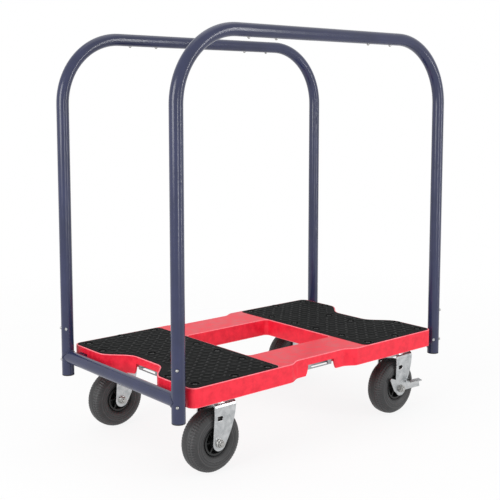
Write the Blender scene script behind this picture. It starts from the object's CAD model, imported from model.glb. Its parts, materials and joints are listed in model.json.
"""Looks of a panel cart: a moulded deck on four casters, under two tall bars of painted tube.

Everything is in metres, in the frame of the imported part: +X along the deck, +Y across it, +Z up.
A field or value whose name ends in mm is in millimetres, and one that ends in deg is in degrees.
"""

import json
import logging
import math
from dataclasses import dataclass
from enum import Enum
from typing import Any, Iterable

import bmesh
import bpy
from mathutils import Matrix, Vector

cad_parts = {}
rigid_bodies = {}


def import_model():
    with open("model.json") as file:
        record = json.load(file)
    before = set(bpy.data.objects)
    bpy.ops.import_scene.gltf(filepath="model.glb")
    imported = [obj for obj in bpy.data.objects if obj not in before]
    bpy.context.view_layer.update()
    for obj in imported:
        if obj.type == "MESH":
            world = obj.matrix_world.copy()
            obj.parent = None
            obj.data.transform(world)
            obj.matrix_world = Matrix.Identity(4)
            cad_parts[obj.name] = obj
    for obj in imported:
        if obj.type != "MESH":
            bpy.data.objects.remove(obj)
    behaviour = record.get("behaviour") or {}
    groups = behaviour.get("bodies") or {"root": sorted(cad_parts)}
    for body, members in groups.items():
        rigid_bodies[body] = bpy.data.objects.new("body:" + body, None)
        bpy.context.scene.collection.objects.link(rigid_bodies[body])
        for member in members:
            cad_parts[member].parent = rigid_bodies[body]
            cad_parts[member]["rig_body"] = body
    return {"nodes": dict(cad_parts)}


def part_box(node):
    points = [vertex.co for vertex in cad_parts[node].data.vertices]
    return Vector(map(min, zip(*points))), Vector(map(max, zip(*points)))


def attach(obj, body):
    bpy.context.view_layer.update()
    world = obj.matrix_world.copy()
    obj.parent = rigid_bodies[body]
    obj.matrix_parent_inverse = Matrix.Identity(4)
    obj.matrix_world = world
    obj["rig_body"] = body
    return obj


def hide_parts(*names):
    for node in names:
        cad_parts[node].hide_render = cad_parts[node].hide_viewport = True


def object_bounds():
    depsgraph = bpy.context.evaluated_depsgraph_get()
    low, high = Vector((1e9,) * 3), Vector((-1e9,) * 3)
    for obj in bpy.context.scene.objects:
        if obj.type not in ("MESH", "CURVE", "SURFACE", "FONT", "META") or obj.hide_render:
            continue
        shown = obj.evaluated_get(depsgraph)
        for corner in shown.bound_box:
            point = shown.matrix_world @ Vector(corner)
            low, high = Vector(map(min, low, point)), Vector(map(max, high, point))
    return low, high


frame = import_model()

CAD_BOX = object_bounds()
MM = 0.001
CORNERS = ("front_left", "front_right", "back_left", "back_right")
BRAKED = ("front_right", "back_right")
SIDES = ("left", "right")
WHITE = (1.0, 1.0, 1.0, 1.0)
LOG = logging.getLogger("panel_cart")

# The record's material slot of each CAD node, kept before the finishes take the slots' place
SLOTS = {name: node.material_slots[0].name.split(".")[0] for name, node in frame["nodes"].items()}

# How the noise behind the finishes is drawn: octaves and breakup of the patches, octaves of the relief
PATCH_DETAIL = 6.0
PATCH_BREAKUP = 0.62
RELIEF_DETAIL = 3.0
# Middle of the noise's range
NOISE_MIDDLE = 0.5
# How fast a drawn-out relief changes along Z, as a share of its rate across
DRAWN_SHARE = 0.06
# How well the rounded normal agrees with the flat one where an edge starts to pale and where it is palest
SOUND_EDGE = 0.99
WORN_EDGE = 0.85
EDGE_SAMPLES = 6

# Points this near are one, and faces this near to flat are one face
SAME_POINT_MM = 0.01
SAME_FACE_DEG = 0.5
# How far over a node a line down starts
LOOK_FROM_MM = 100.0
# Shape of a round across an edge, as an arc
ARC_PROFILE = 0.5
# Place of a piece's worn finish in its list of materials, and the value that leaves rounds as they are
WORN_PLACE = 1
KEEP_PLACE = -1

# Width of the rounds on the edges of the strap anchors and of the plugs in the posts
ANCHOR_ROUND_MM = 0.6
PLUG_ROUND_MM = 0.8


def linear(code: str) -> tuple[float, float, float, float]:
    """Turns an sRGB hex colour to linear light.

    Args:
        code: Six hex digits after a hash.

    Returns:
        Red, green, blue and an alpha of one.
    """
    parts = [int(code[i:i + 2], 16) / 255 for i in (1, 3, 5)]
    red, green, blue = (c / 12.92 if c <= 0.04045 else ((c + 0.055) / 1.055) ** 2.4 for c in parts)
    return red, green, blue, 1.0


def add_node(tree: bpy.types.NodeTree, kind: str, inputs: dict | None = None,
             **settings: Any) -> bpy.types.Node:
    """Adds a shader node with its settings, and fills or links its inputs.

    Args:
        tree: The node tree that takes the node.
        kind: Blender's name for the node.
        inputs: Values, or sockets to link from, by the name or number of the input.
        settings: Properties of the node.

    Returns:
        The new node.
    """
    made = tree.nodes.new(kind)
    for name, value in settings.items():
        setattr(made, name, value)
    for socket, value in (inputs or {}).items():
        if isinstance(value, bpy.types.NodeSocket):
            tree.links.new(value, made.inputs[socket])
        else:
            made.inputs[socket].default_value = value
    return made


class Grain(Enum):
    """What a surface's fine relief looks like."""

    PEBBLE = "pebbled, as a mould's etched wall leaves it"
    PEEL = "softly rolling, as sprayed or cast skins are"
    DRAWN = "drawn out in one direction, as rolling and polishing leave it"


@dataclass(frozen=True)
class Finish:
    """A surface: what it is made of and how it meets the light.

    Args:
        name: The real material and how its surface was made.
        colour: Its colour as sRGB hex.
        shade: The colour that its patches drift to.
        patch_mm: Size of those patches.
        roughness: Mean roughness.
        swing: How far the roughness drifts with the patches.
        spread: How soft the patches' borders are, from 0.05, crisp, to 0.5.
        metallic: One for bare metal.
        specular: Specular level of the shader.
        grain: Kind of fine relief.
        grain_mm: Size of the relief.
        depth_mm: Depth of the relief.
        edge_mm: How far a scuffed, paler edge reaches, or zero.
        edge: Colour of that edge.
    """

    name: str
    colour: str
    shade: str
    patch_mm: float
    roughness: float
    swing: float = 0.06
    spread: float = 0.2
    metallic: float = 0.0
    specular: float = 0.5
    grain: Grain = Grain.PEEL
    grain_mm: float = 2.0
    depth_mm: float = 0.05
    edge_mm: float = 0.0
    edge: str = "#ffffff"

    def material(self) -> bpy.types.Material:
        """Builds the finish's node tree.

        Returns:
            The material, the same one each time it is asked for.
        """
        if self.name in bpy.data.materials:
            return bpy.data.materials[self.name]
        made = bpy.data.materials.new(self.name)
        made.use_nodes = True
        tree = made.node_tree
        shader = tree.nodes["Principled BSDF"]
        shader.inputs["Metallic"].default_value = self.metallic
        shader.inputs["Specular IOR Level"].default_value = self.specular
        place = add_node(tree, "ShaderNodeTexCoord").outputs["Object"]
        patches = add_node(tree, "ShaderNodeTexNoise",
                           {"Vector": place, "Scale": 1 / (self.patch_mm * MM),
                            "Detail": PATCH_DETAIL, "Roughness": PATCH_BREAKUP})
        drift = add_node(tree, "ShaderNodeMapRange",
                         {"Value": patches.outputs["Fac"], "From Min": NOISE_MIDDLE - self.spread,
                          "From Max": NOISE_MIDDLE + self.spread}).outputs["Result"]
        tones = add_node(tree, "ShaderNodeMix",
                         {"Factor": drift, "A": linear(self.shade), "B": linear(self.colour)},
                         data_type="RGBA")
        self._mix_edge(tree, tones, shader)
        rough = add_node(tree, "ShaderNodeMapRange",
                         {"Value": drift, "To Min": self.roughness - self.swing,
                          "To Max": self.roughness + self.swing})
        tree.links.new(rough.outputs["Result"], shader.inputs["Roughness"])
        bump = add_node(tree, "ShaderNodeBump",
                        {"Height": self._relief(tree, place), "Distance": self.depth_mm * MM})
        tree.links.new(bump.outputs["Normal"], shader.inputs["Normal"])
        return made

    def _mix_edge(self, tree: bpy.types.NodeTree, tones: bpy.types.Node, shader: bpy.types.Node) -> None:
        """Links the colour to the shader, paler near worn edges.

        Args:
            tree: The material's tree.
            tones: The node that mixes the patches.
            shader: The node that takes the colour.
        """
        colour = tones.outputs["Result"]
        if self.edge_mm:
            smooth = add_node(tree, "ShaderNodeBevel", {"Radius": self.edge_mm * MM}, samples=EDGE_SAMPLES)
            flat = add_node(tree, "ShaderNodeNewGeometry").outputs["True Normal"]
            meet = add_node(tree, "ShaderNodeVectorMath", {0: smooth.outputs["Normal"], 1: flat},
                            operation="DOT_PRODUCT").outputs["Value"]
            worn = add_node(tree, "ShaderNodeMapRange",
                            {"Value": meet, "From Min": SOUND_EDGE, "From Max": WORN_EDGE})
            mixed = add_node(tree, "ShaderNodeMix",
                             {"Factor": worn.outputs["Result"], "A": colour, "B": linear(self.edge)},
                             data_type="RGBA")
            colour = mixed.outputs["Result"]
        tree.links.new(colour, shader.inputs["Base Color"])

    def _relief(self, tree: bpy.types.NodeTree, place: bpy.types.NodeSocket) -> bpy.types.NodeSocket:
        """Draws the height of the fine relief.

        Args:
            tree: The material's tree.
            place: The coordinates to draw it on.

        Returns:
            The socket that gives the height.
        """
        scale = 1 / (self.grain_mm * MM)
        if self.grain is Grain.PEBBLE:
            cells = add_node(tree, "ShaderNodeTexVoronoi", {"Vector": place, "Scale": scale},
                             feature="SMOOTH_F1")
            return cells.outputs["Distance"]
        if self.grain is Grain.DRAWN:
            stretched = add_node(tree, "ShaderNodeMapping",
                                 {"Vector": place, "Scale": (1.0, 1.0, DRAWN_SHARE)})
            place = stretched.outputs["Vector"]
        waves = add_node(tree, "ShaderNodeTexNoise",
                         {"Vector": place, "Scale": scale, "Detail": RELIEF_DETAIL})
        return waves.outputs["Fac"]


# The paint's rolling skin has its real size. On the real pieces the other grains are finer than a
# picture shows, so they are drawn coarser than real.

# Injection-moulded polypropylene with an etched grain: a strong red, clouded where the mould's
# skin is duller
DECK_PLASTIC = Finish("moulded_red_polypropylene", "#f3243c", "#dc1530", 20, 0.42, swing=0.08, spread=0.15,
                      specular=0.34, grain=Grain.PEBBLE, grain_mm=2.6, depth_mm=0.14)
# The same plastic along its rounded edges, scuffed by use: a paler pink line round every rim
RIM_PLASTIC = Finish("scuffed_red_polypropylene", "#ff8f98", "#f8606f", 12, 0.5, swing=0.06, specular=0.4,
                     grain=Grain.PEBBLE, grain_mm=2.6, depth_mm=0.1)
# Moulded rubber under the tread: black and dull, with a dusty drift in its tone
PAD_RUBBER = Finish("moulded_pad_rubber", "#161717", "#101111", 40, 0.8, swing=0.08, specular=0.1,
                    grain=Grain.PEBBLE, grain_mm=1.6, depth_mm=0.08)
# The same rubber on the raised tread, rubbed a little paler and smoother by boxes and boots
TREAD_RUBBER = Finish("rubbed_tread_rubber", "#202121", "#171818", 22, 0.66, swing=0.1, specular=0.12,
                      grain=Grain.PEBBLE, grain_mm=1.6, depth_mm=0.06)
# Steel under slate-blue powder coat: glossy, with the faint rolling skin of baked powder
TUBE_PAINT = Finish("slate_powder_coat", "#2c3151", "#262b46", 70, 0.2, swing=0.03, specular=0.48,
                    grain=Grain.PEEL, grain_mm=1.6, depth_mm=0.06)
# Welded seams under the same paint: rougher and a little darker than the drawn tube
WELD_PAINT = Finish("painted_weld_bead", "#2a2f4b", "#242941", 8, 0.34, swing=0.08, specular=0.4,
                    grain=Grain.PEEL, grain_mm=2.0, depth_mm=0.2)
# Pressed steel with bright zinc plate: a cool grey mirror broken up by rolling marks
ZINC_PLATE = Finish("bright_zinc_plate", "#c2c4c5", "#a0a3a5", 16, 0.3, swing=0.08, metallic=1.0,
                    grain=Grain.DRAWN, grain_mm=1.2, depth_mm=0.03, edge_mm=0.8, edge="#ececec")
# The same plate inside the bays, dulled by grease and dust: grey rather than bright
DULL_ZINC = Finish("dulled_zinc_plate", "#a3a6a8", "#85888b", 14, 0.42, swing=0.08, metallic=1.0,
                   grain=Grain.DRAWN, grain_mm=1.2, depth_mm=0.03, edge_mm=0.8, edge="#d6d7d8")
# Turned and plated steel of the bolts and buttons: smaller patches, and a little darker than the plates
BOLT_STEEL = Finish("plated_bolt_steel", "#b9b9b7", "#939391", 5, 0.3, swing=0.1, metallic=1.0,
                    grain=Grain.PEEL, grain_mm=1.0, depth_mm=0.02)
# Moulded tyre rubber: dark grey with a low sheen, paler along the edges of its ribs
TYRE_RUBBER = Finish("moulded_tyre_rubber", "#333334", "#262627", 18, 0.48, swing=0.08, specular=0.42,
                     grain=Grain.PEEL, grain_mm=1.4, depth_mm=0.1, edge_mm=1.2, edge="#4c4c4d")
# Glass-filled nylon of the rims and plugs: black with a slight moulded sheen
BLACK_NYLON = Finish("moulded_black_nylon", "#1d1e1f", "#141515", 22, 0.45, swing=0.08, specular=0.4,
                     grain=Grain.PEBBLE, grain_mm=1.4, depth_mm=0.05, edge_mm=1.0, edge="#3a3b3c")
# Blackened steel screws: about as dark as the rubber around them, and glossier
BLACK_SCREW = Finish("blackened_screw_steel", "#121212", "#1c1c1c", 5, 0.34, metallic=0.6)

SLOT_FINISH = {
    "deck_plastic": DECK_PLASTIC,
    "pad_rubber": PAD_RUBBER,
    "tube_paint": TUBE_PAINT,
    "zinc_plate": ZINC_PLATE,
    "bolt_steel": BOLT_STEEL,
    "button_steel": BOLT_STEEL,
    "tyre_rubber": TYRE_RUBBER,
    "hub_plastic": BLACK_NYLON,
    "plug_plastic": BLACK_NYLON,
    "black_screws": BLACK_SCREW,
}


def body_of(node: str) -> str:
    """The body that a CAD node rides on."""
    return frame["nodes"][node]["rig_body"]


def slot_of(node: str) -> str:
    """The record's material slot of a CAD node."""
    return SLOTS[node]


def dress(piece: bpy.types.Object, finish: Finish) -> None:
    """Gives a whole piece one finish."""
    piece.data.materials.clear()
    piece.data.materials.append(finish.material())


def piece_from(work: bmesh.types.BMesh, name: str, finish: Finish, node: str,
               stands_for: bool) -> bpy.types.Object:
    """Makes a piece of the object from a mesh, and sets what it rides on.

    Args:
        work: The mesh, which is freed.
        name: The piece's name.
        finish: Its finish.
        node: The CAD node that it belongs to.
        stands_for: Whether it is shown in place of that node.

    Returns:
        The piece.
    """
    mesh = bpy.data.meshes.new(name)
    work.to_mesh(mesh)
    work.free()
    piece = bpy.data.objects.new(name, mesh)
    bpy.context.scene.collection.objects.link(piece)
    mesh.materials.append(finish.material())
    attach(piece, body_of(node))
    if stands_for:
        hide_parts(node)
    LOG.info("made %s, %d faces, on %s", name, len(mesh.polygons), body_of(node))
    return piece


def welded(node: str) -> bmesh.types.BMesh:
    """A CAD node's mesh as one skin, with its flat faces whole again.

    Args:
        node: The node to copy.

    Returns:
        The mesh, to be changed and freed.
    """
    work = bmesh.new()
    work.from_mesh(frame["nodes"][node].data)
    bmesh.ops.remove_doubles(work, verts=work.verts, dist=SAME_POINT_MM * MM)
    bmesh.ops.dissolve_limit(work, angle_limit=math.radians(SAME_FACE_DEG), verts=work.verts,
                             edges=work.edges)
    return work


def height_at(node: str, x: float, y: float, top: float) -> float | None:
    """Height of a CAD node's upper side at one place.

    Args:
        node: The node.
        x: The place along the deck.
        y: The place across it.
        top: Height of the node's highest point.

    Returns:
        The height, or none where a line down misses the node.
    """
    above = Vector((x, y, top + LOOK_FROM_MM * MM))
    hit, where, _, _ = frame["nodes"][node].ray_cast(above, Vector((0, 0, -1)))
    return where.z if hit else None


def turns(count: int) -> list[tuple[float, float]]:
    """Cosine and sine of even steps round a circle."""
    return [(math.cos(2 * math.pi * i / count), math.sin(2 * math.pi * i / count)) for i in range(count)]


def bridge(work: bmesh.types.BMesh, here: list[bmesh.types.BMVert], after: list[bmesh.types.BMVert]) -> None:
    """Joins two closed rings of as many points by smooth faces.

    Args:
        work: The mesh that takes the faces.
        here: One ring.
        after: The other ring.
    """
    for k in range(len(here)):
        n = (k + 1) % len(here)
        work.faces.new((here[k], after[k], after[n], here[n])).smooth = True


@dataclass
class SoftEdges:
    """A pressed or moulded node, shown with the small rounds that its edges have.

    Args:
        node: The CAD node.
        round_mm: Width of the rounds.
        sharp_deg: Edges that turn by more than this are rounded.
        steps: Faces across a round.
        finish: Its finish, or none for that of its slot.
        worn: Finish of the rounds, or none for the same.
    """

    node: str
    round_mm: float
    sharp_deg: float = 40.0
    steps: int = 2
    finish: Finish | None = None
    worn: Finish | None = None

    def wanted(self, edge: bmesh.types.BMEdge) -> bool:
        """Whether an edge stands out far enough to be rounded."""
        return (len(edge.link_faces) == 2 and edge.is_convex
                and edge.calc_face_angle(0.0) > math.radians(self.sharp_deg))

    def build(self) -> bpy.types.Object:
        """Rounds the wanted edges.

        Returns:
            The piece, in place of its node.
        """
        work = welded(self.node)
        edges = [e for e in work.edges if self.wanted(e)]
        bmesh.ops.bevel(work, geom=edges, offset=self.round_mm * MM, offset_type="OFFSET",
                        segments=self.steps, profile=ARC_PROFILE, affect="EDGES", clamp_overlap=False,
                        material=WORN_PLACE if self.worn else KEEP_PLACE)
        finish = self.finish or SLOT_FINISH[slot_of(self.node)]
        piece = piece_from(work, f"soft_{self.node}", finish, self.node, stands_for=True)
        if self.worn:
            piece.data.materials.append(self.worn.material())
        piece.data.shade_smooth()
        piece.data.set_sharp_from_angle(angle=math.radians(self.sharp_deg))
        level = piece.modifiers.new("even_shading", "WEIGHTED_NORMAL")
        level.keep_sharp = True
        return piece


@dataclass
class Deck(SoftEdges):
    """The moulded deck, rounded along its rims, its lips and the foot of its walls.

    Args:
        lip_mm: Depth of the lips over the bays.
        near_mm: How far from the height of a rim an edge may lie and still belong to it.
    """

    node: str = "deck"
    round_mm: float = 1.8
    worn: Finish | None = RIM_PLASTIC
    lip_mm: float = 19.0
    near_mm: float = 0.5

    def __post_init__(self) -> None:
        """Keeps the heights of the deck's foot and top."""
        low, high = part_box(self.node)
        self.foot, self.top = low.z, high.z

    def wanted(self, edge: bmesh.types.BMEdge) -> bool:
        """Whether an edge is one of the deck's outer rims.

        Args:
            edge: The edge to test.

        Returns:
            True if it lies at the height of a rim and stands out far enough.
        """
        z = (edge.verts[0].co.z + edge.verts[1].co.z) / 2
        near = self.near_mm * MM
        on_lip = abs(z - self.top + self.lip_mm * MM) < near
        on_rim = z > self.top - near or z < self.foot + near or on_lip
        return on_rim and super().wanted(edge)


@dataclass
class TreadPads:
    """The raised tread on the pads: lozenges, and a rim round each dimple.

    Args:
        pitch_mm: Distance between neighbouring lozenges.
        long_mm: Length of a lozenge.
        wide_mm: Width of a lozenge.
        high_mm: Height above the pad.
        sunk_mm: How far the foot of the tread goes into the pad.
        turn_deg: How far a lozenge is turned from the deck's length.
        pinch: How sharply a lozenge's ends taper, where one gives an ellipse.
        points: Points round a lozenge.
        wall_share: Size of a lozenge at the top of its wall, as a share of its foot.
        wall_high_share: Height of that wall as a share of the lozenge's.
        crown_share: Size of its flat crown as a share of its foot.
        margin_mm: Bare rubber left at edges and dimples.
        flat_mm: How far from the pad's upper face a spot may lie and still be on it.
        dimple_mm: Width of the dimples.
        rim_mm: Width of the raised rim round a dimple.
        rim_points: Points round that rim.
        rim_wall_share: Height of its inner wall as a share of the tread's.
        rim_flat_shares: Where its flat top starts and ends, as shares of its width.
    """

    pitch_mm: float = 19.0
    long_mm: float = 20.0
    wide_mm: float = 8.0
    high_mm: float = 1.2
    sunk_mm: float = 0.3
    turn_deg: float = 45.0
    pinch: float = 1.3
    points: int = 12
    wall_share: float = 0.93
    wall_high_share: float = 0.75
    crown_share: float = 0.78
    margin_mm: float = 2.4
    flat_mm: float = 0.1
    dimple_mm: float = 22.0
    rim_mm: float = 2.6
    rim_points: int = 40
    rim_wall_share: float = 0.8
    rim_flat_shares: tuple[float, float] = (0.3, 0.7)

    def outline(self) -> list[Vector]:
        """Draws a lozenge's rounded outline, along X.

        Returns:
            Its points, in millimetres.
        """
        points = []
        for along, across in turns(self.points):
            tapered = math.copysign(abs(across) ** self.pinch, across)
            points.append(Vector((self.long_mm / 2 * along, self.wide_mm / 2 * tapered, 0.0)))
        return points

    def clear(self, node: str, top: float, spots: Iterable[Vector]) -> bool:
        """Whether the pad is flat under every spot.

        Args:
            node: The pad's CAD node.
            top: Height of its upper face.
            spots: Places to test.

        Returns:
            True if a line down from above meets the upper face at each one.
        """
        for spot in spots:
            height = height_at(node, spot.x, spot.y, top)
            if height is None or abs(height - top) > self.flat_mm * MM:
                return False
        return True

    def build(self, side: str) -> bpy.types.Object:
        """Covers one pad with lozenges that turn left and right in turn.

        Args:
            side: Which pad, left or right.

        Returns:
            The tread as one piece.
        """
        node = f"tread_pad_{side}"
        low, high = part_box(node)
        work = bmesh.new()
        pitch = self.pitch_mm * MM
        columns = int((high.x - low.x) / pitch) + 1
        rows = int((high.y - low.y) / pitch) + 1
        shape = self.outline()
        reach = 1 + 2 * self.margin_mm / self.long_mm
        for i in range(columns):
            for j in range(rows):
                middle = Vector(((low.x + high.x) / 2 + (i - (columns - 1) / 2) * pitch,
                                 (low.y + high.y) / 2 + (j - (rows - 1) / 2) * pitch, high.z))
                angle = self.turn_deg if (i + j) % 2 else -self.turn_deg
                turn = Matrix.Rotation(math.radians(angle), 3, "Z")
                spots = [middle + turn @ (p * MM * reach) for p in shape]
                if self.clear(node, high.z, spots):
                    self.add_lozenge(work, middle, turn, shape)
        for head, _, _ in PadScrews().heads():
            if low.x < head.x < high.x:
                self.add_rim(work, Vector((head.x, head.y, high.z)))
        return piece_from(work, f"tread_{side}", TREAD_RUBBER, node, stands_for=False)

    def add_lozenge(self, work: bmesh.types.BMesh, middle: Vector, turn: Matrix, shape: list[Vector]) -> None:
        """Adds one low dome with its foot just under the pad's face.

        Args:
            work: The mesh that takes it.
            middle: Its place.
            turn: Its direction.
            shape: Its outline.
        """
        levels = ((1.0, -self.sunk_mm), (self.wall_share, self.wall_high_share * self.high_mm),
                  (self.crown_share, self.high_mm))
        rings = []
        for share, height in levels:
            lift = Vector((0, 0, height * MM))
            rings.append([work.verts.new(middle + lift + turn @ (p * share * MM)) for p in shape])
        for lower, upper in zip(rings, rings[1:]):
            bridge(work, upper, lower)
        work.faces.new(rings[-1]).smooth = True
        work.faces.new(list(reversed(rings[0])))

    def add_rim(self, work: bmesh.types.BMesh, middle: Vector) -> None:
        """Adds the low raised rim round a dimple.

        Args:
            work: The mesh that takes it.
            middle: The dimple's middle, at the height of the pad's face.
        """
        inner = self.dimple_mm / 2
        flat_from, flat_to = (inner + share * self.rim_mm for share in self.rim_flat_shares)
        section = ((inner, -self.sunk_mm), (inner, self.rim_wall_share * self.high_mm),
                   (flat_from, self.high_mm), (flat_to, self.high_mm),
                   (inner + self.rim_mm, -self.sunk_mm))
        circle = turns(self.rim_points)
        rings = [[work.verts.new(middle + MM * Vector((r * c, r * s, z))) for c, s in circle]
                 for r, z in section]
        for here, after in zip(rings, rings[1:] + rings[:1]):
            bridge(work, here, after)


@dataclass
class PadScrews:
    """Domed screws with a cross recess, in the dimples of the pads.

    Args:
        high_mm: Height of a head.
        dome_share: Height of the dome's edge as a share of the head.
        shank_share: Width of the shank as a share of the head.
        slot_mm: Width of the recess.
        slot_long_mm: Length of its arms.
        slot_deep_mm: Its depth.
        spokes: Points round a head.
        rings: Rings from the middle to the edge.
    """

    high_mm: float = 1.2
    dome_share: float = 0.45
    shank_share: float = 0.36
    slot_mm: float = 1.5
    slot_long_mm: float = 5.4
    slot_deep_mm: float = 0.7
    spokes: int = 32
    rings: int = 9

    def heads(self) -> list[tuple[Vector, float, float]]:
        """Finds the heads in the CAD node.

        Returns:
            The middle of each head's top, its radius and the screw's full depth.
        """
        work = welded("pad_screws")
        found = []
        left = set(work.verts)
        while left:
            group, queue = [], [left.pop()]
            while queue:
                here = queue.pop()
                group.append(here.co.copy())
                for edge in here.link_edges:
                    other = edge.other_vert(here)
                    if other in left:
                        left.discard(other)
                        queue.append(other)
            xs, ys, zs = ([p[i] for p in group] for i in range(3))
            middle = Vector(((min(xs) + max(xs)) / 2, (min(ys) + max(ys)) / 2, max(zs)))
            found.append((middle, (max(xs) - min(xs)) / 2, max(zs) - min(zs)))
        work.free()
        return sorted(found, key=lambda head: tuple(head[0]))

    def build(self) -> bpy.types.Object:
        """Makes all the screws.

        Returns:
            The screws as one piece, in place of their node.
        """
        work = bmesh.new()
        for middle, radius, depth in self.heads():
            self.add_screw(work, middle, radius, depth)
        return piece_from(work, "pad_screw_heads", BLACK_SCREW, "pad_screws", stands_for=True)

    def drop(self, x: float, y: float, share: float) -> float:
        """How far the top of a head lies under its middle, recess and all.

        Args:
            x: Place on the head, from its middle.
            y: The same, across.
            share: How far out the place is, as a share of the head's radius.

        Returns:
            The drop.
        """
        dome = self.high_mm * MM * (1 - self.dome_share) * share ** 2
        arm, across = max(abs(x), abs(y)), min(abs(x), abs(y))
        in_recess = across < self.slot_mm * MM / 2 and arm < self.slot_long_mm * MM / 2
        return dome + self.slot_deep_mm * MM if in_recess else dome

    def add_screw(self, work: bmesh.types.BMesh, middle: Vector, radius: float, depth: float) -> None:
        """Adds one screw, from the top of its dome to the tip of its shank.

        Args:
            work: The mesh that takes it.
            middle: The middle of the head's top.
            radius: The head's radius.
            depth: The screw's full depth.
        """
        circle = turns(self.spokes)
        loops = []
        for j in range(1, self.rings + 1):
            share = j / self.rings
            loop = []
            for c, s in circle:
                x, y = radius * share * c, radius * share * s
                loop.append(work.verts.new(middle + Vector((x, y, -self.drop(x, y, share)))))
            loops.append(loop)
        foot = -self.high_mm * MM
        for share, z in ((1.0, foot), (self.shank_share, foot), (self.shank_share, -depth)):
            loops.append([work.verts.new(middle + Vector((radius * share * c, radius * share * s, z)))
                          for c, s in circle])
        pit = work.verts.new(middle + Vector((0, 0, -self.slot_deep_mm * MM)))
        for i in range(self.spokes):
            work.faces.new((pit, loops[0][i], loops[0][(i + 1) % self.spokes]))
        for inner, outer in zip(loops, loops[1:]):
            bridge(work, inner, outer)
        work.faces.new(list(reversed(loops[-1])))


@dataclass
class WeldBeads:
    """The rippled weld where an end frame's crossbar meets its posts.

    Args:
        side: Which end frame, left or right.
        bead_mm: Radius of the bead.
        points: Points round the bead's section.
        ripples: Ripples round one joint.
        ripple_steps: Steps along one ripple.
        ripple_share: Height of a ripple as a share of the bead.
    """

    side: str
    bead_mm: float = 2.4
    points: int = 8
    ripples: int = 30
    ripple_steps: int = 4
    ripple_share: float = 0.14

    def build(self) -> bpy.types.Object:
        """Runs a bead round both ends of the crossbar.

        Returns:
            Both beads as one piece.
        """
        node = f"end_frame_{self.side}"
        tube_low, tube_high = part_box("front_top_tube")
        radius = (tube_high.z - tube_low.z) / 2
        low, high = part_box(node)
        x = low.x + radius if self.side == "left" else high.x - radius
        bar = height_at(node, x, 0.0, high.z) - radius
        work = bmesh.new()
        for end in (-1, 1):
            self.add_bead(work, Vector((x, end * (high.y - radius), bar)), end, radius)
        return piece_from(work, f"weld_beads_{self.side}", WELD_PAINT, node, stands_for=False)

    def add_bead(self, work: bmesh.types.BMesh, centre: Vector, end: int, radius: float) -> None:
        """Adds one closed bead along the saddle line of two crossing tubes.

        Args:
            work: The mesh that takes it.
            centre: Where the tubes' middles cross.
            end: The sign of the post's place across the cart.
            radius: The tubes' radius.
        """
        steps = self.ripple_steps * self.ripples
        section = turns(self.points)
        rings = []
        for i, (across, up) in enumerate(turns(steps)):
            line = centre + radius * Vector((across, -end * abs(up), up))
            out_bar = Vector((across, 0.0, up))
            out_post = Vector((across, -end * abs(up), 0.0)).normalized()
            out = (out_bar + out_post).normalized()
            ahead = Vector((-up, -end * math.copysign(1.0, up) * across, across)).normalized()
            side = ahead.cross(out).normalized()
            ripple = math.cos(self.ripples * 2 * math.pi * i / steps)
            thick = self.bead_mm * MM * (1 + self.ripple_share * ripple)
            rings.append([work.verts.new(line + thick * (c * out + s * side)) for c, s in section])
        for here, after in zip(rings, rings[1:] + rings[:1]):
            bridge(work, here, after)
        bmesh.ops.recalc_face_normals(work, faces=work.faces)


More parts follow.
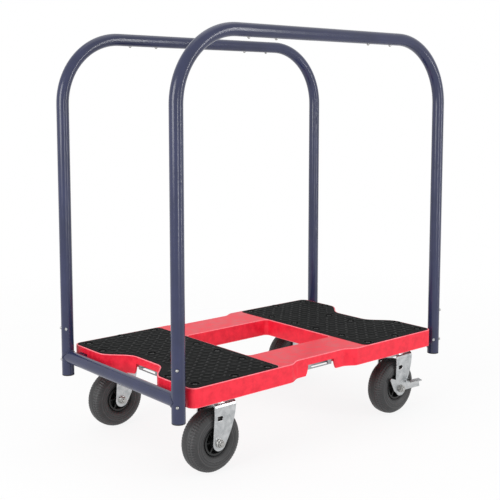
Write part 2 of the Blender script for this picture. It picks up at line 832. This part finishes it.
@dataclass
class Tyre:
    """A fat tyre with cross ribs over its shoulders and rings on its sides.

    Args:
        corner: The corner that it stands at.
        seat_mm: Room between the rim and the bead.
        bead_mm: Radius of the rounded bead.
        shoulder_mm: Radius of the round shoulder.
        ribs: Number of ribs round the tread.
        rib_mm: Depth of the gaps between the ribs.
        rib_shares: Share of that depth at each step of one rib and its gap.
        rib_start_mm: How far inside the tread's radius the ribs start.
        rib_rise_mm: Distance over which they reach their full depth.
        crown_mm: Half width of the crown, which has no ribs.
        groove_mm: Depth of the grooves round the crown.
        grooves_mm: Place across and half width of each groove.
        ring_mm: Height of the rings on the sides.
        ring_wide_mm: Half width of a ring.
        rings_mm: Radius of each ring.
        bead_steps: Steps round the bead.
        wall_steps: Steps up the side wall.
        shoulder_steps: Steps round the shoulder.
        crown_steps: Steps from the shoulder to the middle of the crown.
    """

    corner: str
    seat_mm: float = 0.3
    bead_mm: float = 12.0
    shoulder_mm: float = 22.0
    ribs: int = 66
    rib_mm: float = 1.1
    rib_shares: tuple[float, ...] = (0.0, 0.0, 0.0, 1.0)
    rib_start_mm: float = 17.0
    rib_rise_mm: float = 7.0
    crown_mm: float = 9.0
    groove_mm: float = 1.6
    grooves_mm: tuple[tuple[float, float], ...] = ((9.0, 1.5), (17.0, 1.3))
    ring_mm: float = 1.0
    ring_wide_mm: float = 1.0
    rings_mm: tuple[float, ...] = (46.5, 51.5, 57.0)
    bead_steps: int = 6
    wall_steps: int = 8
    shoulder_steps: int = 22
    crown_steps: int = 4

    def plain_section(self, inner: float, outer: float, half: float) -> list[tuple[float, float]]:
        """One side of the section without its relief, from the bead to the middle of the crown.

        Args:
            inner: Radius of the bead.
            outer: Radius of the tread.
            half: Half of the width.

        Returns:
            Radius and place across, for each point.
        """
        bead, shoulder = self.bead_mm * MM, self.shoulder_mm * MM
        quarter = math.pi / 2
        points = [(inner + bead * (1 - math.cos(a)), half - bead * (1 - math.sin(a)))
                  for a in (quarter * i / self.bead_steps for i in range(self.bead_steps))]
        wall = outer - shoulder - inner - bead
        points += [(inner + bead + wall * i / self.wall_steps, half) for i in range(self.wall_steps)]
        points += [(outer - shoulder * (1 - math.sin(a)), half - shoulder * (1 - math.cos(a)))
                   for a in (quarter * i / self.shoulder_steps for i in range(self.shoulder_steps + 1))]
        points += [(outer, (half - shoulder) * (1 - i / self.crown_steps))
                   for i in range(1, self.crown_steps + 1)]
        return points

    def half_section(self, inner: float, outer: float, half: float) -> list[tuple[float, float, float]]:
        """The same side with its grooves and rings.

        Args:
            inner: Radius of the bead.
            outer: Radius of the tread.
            half: Half of the width.

        Returns:
            Radius, place across and the share of the rib's depth, for each point.
        """
        points = []
        for r, y in self.plain_section(inner, outer, half):
            share = min(1.0, max(0.0, (r - outer + self.rib_start_mm * MM) / (self.rib_rise_mm * MM)))
            ring = sum(math.exp(-((r - at * MM) / (self.ring_wide_mm * MM)) ** 2) for at in self.rings_mm)
            groove = sum(math.exp(-((y - at * MM) / (wide * MM)) ** 2) for at, wide in self.grooves_mm)
            points.append((r - groove * share * self.groove_mm * MM, y + ring * self.ring_mm * MM, share))
        return points

    def build(self) -> bpy.types.Object:
        """Turns the section round the axle, rib by rib.

        Returns:
            The tyre, in place of its plain node.
        """
        node = f"tyre_{self.corner}"
        low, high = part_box(node)
        rim_low, rim_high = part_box(f"rim_{self.corner}")
        centre = (low + high) / 2
        inner = (rim_high.z - rim_low.z) / 2 + self.seat_mm * MM
        side = self.half_section(inner, (high.z - low.z) / 2, (high.y - low.y) / 2)
        profile = side + [(r, -y, share) for r, y, share in reversed(side[:-1])]
        work = bmesh.new()
        per_rib = len(self.rib_shares)
        rings = []
        for i, (along, up) in enumerate(turns(self.ribs * per_rib)):
            ring = []
            for r, y, share in profile:
                stagger = 0 if y < 0 else per_rib // 2
                ribbed = share if abs(y) > self.crown_mm * MM else 0.0
                radius = r - self.rib_shares[(i + stagger) % per_rib] * ribbed * self.rib_mm * MM
                ring.append(work.verts.new(centre + Vector((radius * along, y, radius * up))))
            rings.append(ring)
        for here, after in zip(rings, rings[1:] + rings[:1]):
            bridge(work, here, after)
        bmesh.ops.recalc_face_normals(work, faces=work.faces)
        return piece_from(work, f"treaded_tyre_{self.corner}", TYRE_RUBBER, node, stands_for=True)


@dataclass
class Caster:
    """A caster: its tyre, and the rounds on the edges of its other pieces.

    Args:
        corner: The corner that it stands at.
        fork_round_mm: Width of the rounds on the fork.
        plate_round_mm: The same on its top plate.
        rim_round_mm: The same on the wheel's rim.
        axle_round_mm: The same on the axle's bolt and nut.
        lever_round_mm: The same on the brake lever.
    """

    corner: str
    fork_round_mm: float = 0.9
    plate_round_mm: float = 0.8
    rim_round_mm: float = 0.9
    axle_round_mm: float = 0.6
    lever_round_mm: float = 0.8

    def build(self) -> None:
        """Makes the pieces that every caster has."""
        Tyre(self.corner).build()
        SoftEdges(f"fork_{self.corner}", self.fork_round_mm).build()
        SoftEdges(f"caster_plate_{self.corner}", self.plate_round_mm).build()
        SoftEdges(f"rim_{self.corner}", self.rim_round_mm).build()
        SoftEdges(f"axle_{self.corner}", self.axle_round_mm).build()

    def build_lever(self) -> None:
        """Makes the brake lever of a caster that has one."""
        SoftEdges(f"brake_lever_{self.corner}", self.lever_round_mm).build()


@dataclass
class Frame:
    """The CAD nodes that keep their shape and take a finish."""

    def dress_all(self) -> None:
        """Gives every CAD node the finish of its material slot."""
        for name, node in frame["nodes"].items():
            dress(node, SLOT_FINISH[slot_of(name)])
            LOG.info("dressed %s as %s", name, slot_of(name))


@dataclass(frozen=True)
class SoftBox:
    """A lamp behind a white cloth, turned to the middle of the cart.

    Args:
        name: Its name.
        place: Where it hangs.
        wide: Its width.
        tall: Its height.
        watts: Its power.
    """

    name: str
    place: tuple[float, float, float]
    wide: float
    tall: float
    watts: float

    def build(self) -> None:
        """Hangs the lamp."""
        data = bpy.data.lights.new(self.name, "AREA")
        data.shape = "RECTANGLE"
        data.size = self.wide
        data.size_y = self.tall
        data.energy = self.watts
        lamp = bpy.data.objects.new(self.name, data)
        lamp.location = self.place
        aim = (CAD_BOX[0] + CAD_BOX[1]) / 2 - Vector(self.place)
        lamp.rotation_euler = aim.to_track_quat("-Z", "Y").to_euler()
        bpy.context.scene.collection.objects.link(lamp)


@dataclass
class Studio:
    """A white room: floor, soft boxes and the camera.

    Args:
        place: The camera's place.
        yaw_deg: Its turn from +Y towards +X.
        pitch_deg: Its tilt.
        lens_mm: Focal length for a 36 mm sensor.
        shift: Vertical shift of the frame, as a share of its width.
        ambient: Strength of the world's light on surfaces.
        floor_colour: Colour of the floor as sRGB hex.
        floor_rough: Its roughness.
        floor_white: How far the floor is whitened to the eye.
        floor_radius: Radius of the floor.
        floor_points: Points round it.
        fade_from: Distance from its middle at which it starts to fade out.
        fade_to: Distance at which it has faded out.
        boxes: The lamps.
    """

    place: tuple[float, float, float] = (-1.6236, -1.8599, 0.8667)
    yaw_deg: float = 40.6
    pitch_deg: float = -6.14
    lens_mm: float = 66.55
    shift: float = -0.1
    ambient: float = 0.74
    floor_colour: str = "#f4f4f4"
    floor_rough: float = 0.9
    floor_white: float = 0.87
    floor_radius: float = 4.0
    floor_points: int = 96
    fade_from: float = 0.7
    fade_to: float = 2.6
    boxes: tuple[SoftBox, ...] = (
        SoftBox("left_box", (-3.0, -0.4, 1.3), wide=1.4, tall=1.6, watts=44.0),
        SoftBox("front_box", (-0.9, -3.1, 0.6), wide=0.3, tall=1.1, watts=12.0),
        SoftBox("strip_box", (1.7, -2.7, 1.0), wide=0.2, tall=2.2, watts=24.0),
        SoftBox("top_box", (0.3, 0.4, 3.4), wide=2.4, tall=2.4, watts=12.0),
    )

    def build(self) -> None:
        """Sets up the camera, the world, the floor and the lamps."""
        bpy.context.scene.view_settings.view_transform = "Standard"
        self.camera()
        self.world()
        self.floor()
        for box in self.boxes:
            box.build()

    def camera(self) -> None:
        """Makes the camera."""
        data = bpy.data.cameras.new("photo_camera")
        data.lens = self.lens_mm
        data.shift_y = self.shift
        camera = bpy.data.objects.new("photo_camera", data)
        camera.location = self.place
        camera.rotation_euler = (math.radians(90 + self.pitch_deg), 0.0, math.radians(-self.yaw_deg))
        bpy.context.scene.collection.objects.link(camera)
        bpy.context.scene.camera = camera

    def seen(self, tree: bpy.types.NodeTree) -> bpy.types.NodeSocket:
        """One where a ray comes from the eye, a reflection or glass, and zero elsewhere.

        Args:
            tree: The tree that takes the nodes.

        Returns:
            The socket that gives it.
        """
        path = add_node(tree, "ShaderNodeLightPath").outputs
        eye = add_node(tree, "ShaderNodeMath", {0: path["Is Camera Ray"], 1: path["Is Glossy Ray"]},
                       operation="MAXIMUM")
        both = add_node(tree, "ShaderNodeMath", {0: eye.outputs[0], 1: path["Is Transmission Ray"]},
                        operation="MAXIMUM")
        return both.outputs[0]

    def world(self) -> None:
        """White to the eye and to reflections, dimmer as light on surfaces."""
        world = bpy.data.worlds.new("white_room")
        bpy.context.scene.world = world
        world.use_nodes = True
        tree = world.node_tree
        level = add_node(tree, "ShaderNodeMapRange",
                         {"Value": self.seen(tree), "To Min": self.ambient, "To Max": 1.0})
        light = tree.nodes["Background"]
        light.inputs["Color"].default_value = WHITE
        tree.links.new(level.outputs["Result"], light.inputs["Strength"])

    def floor(self) -> None:
        """Lays a pale round floor that fades out into the white."""
        work = bmesh.new()
        bmesh.ops.create_circle(work, cap_ends=True, radius=self.floor_radius, segments=self.floor_points)
        mesh = bpy.data.meshes.new("floor")
        work.to_mesh(mesh)
        work.free()
        floor = bpy.data.objects.new("floor", mesh)
        floor.location.z = CAD_BOX[0].z
        bpy.context.scene.collection.objects.link(floor)
        floor.data.materials.append(self.floor_paint())

    def floor_paint(self) -> bpy.types.Material:
        """Mixes the floor's paint, which keeps the cart's shadow and is else near white.

        Returns:
            The material.
        """
        paint = bpy.data.materials.new("pale_studio_floor")
        paint.use_nodes = True
        tree = paint.node_tree
        shader = tree.nodes["Principled BSDF"]
        shader.inputs["Base Color"].default_value = linear(self.floor_colour)
        shader.inputs["Roughness"].default_value = self.floor_rough
        shader.inputs["Specular IOR Level"].default_value = 0.0
        glow = add_node(tree, "ShaderNodeEmission", {"Color": WHITE, "Strength": 1.0})
        share = add_node(tree, "ShaderNodeMath", {0: self.seen(tree), 1: self.floor_white},
                         operation="MULTIPLY")
        lit = add_node(tree, "ShaderNodeMixShader",
                       {0: share.outputs[0], 1: shader.outputs[0], 2: glow.outputs[0]})
        place = add_node(tree, "ShaderNodeTexCoord").outputs["Object"]
        away = add_node(tree, "ShaderNodeVectorMath", {0: place}, operation="LENGTH")
        fade = add_node(tree, "ShaderNodeMapRange",
                        {"Value": away.outputs["Value"], "From Min": self.fade_from,
                         "From Max": self.fade_to}, interpolation_type="SMOOTHSTEP")
        clear = add_node(tree, "ShaderNodeBsdfTransparent")
        mixed = add_node(tree, "ShaderNodeMixShader",
                         {0: fade.outputs["Result"], 1: lit.outputs[0], 2: clear.outputs[0]})
        tree.links.new(mixed.outputs[0], tree.nodes["Material Output"].inputs["Surface"])
        return paint


def main() -> None:
    """Builds the studio, dresses the frame, and adds the pieces that only the looks need."""
    logging.basicConfig(level=logging.INFO, format="%(message)s")
    Studio().build()
    Frame().dress_all()
    Deck().build()
    SoftEdges("strap_anchors", ANCHOR_ROUND_MM, finish=DULL_ZINC).build()
    SoftEdges("post_plugs", PLUG_ROUND_MM).build()
    tread = TreadPads()
    for side in SIDES:
        tread.build(side)
        WeldBeads(side).build()
    PadScrews().build()
    for corner in CORNERS:
        Caster(corner).build()
    for corner in BRAKED:
        Caster(corner).build_lever()


if __name__ == "__main__":
    main()
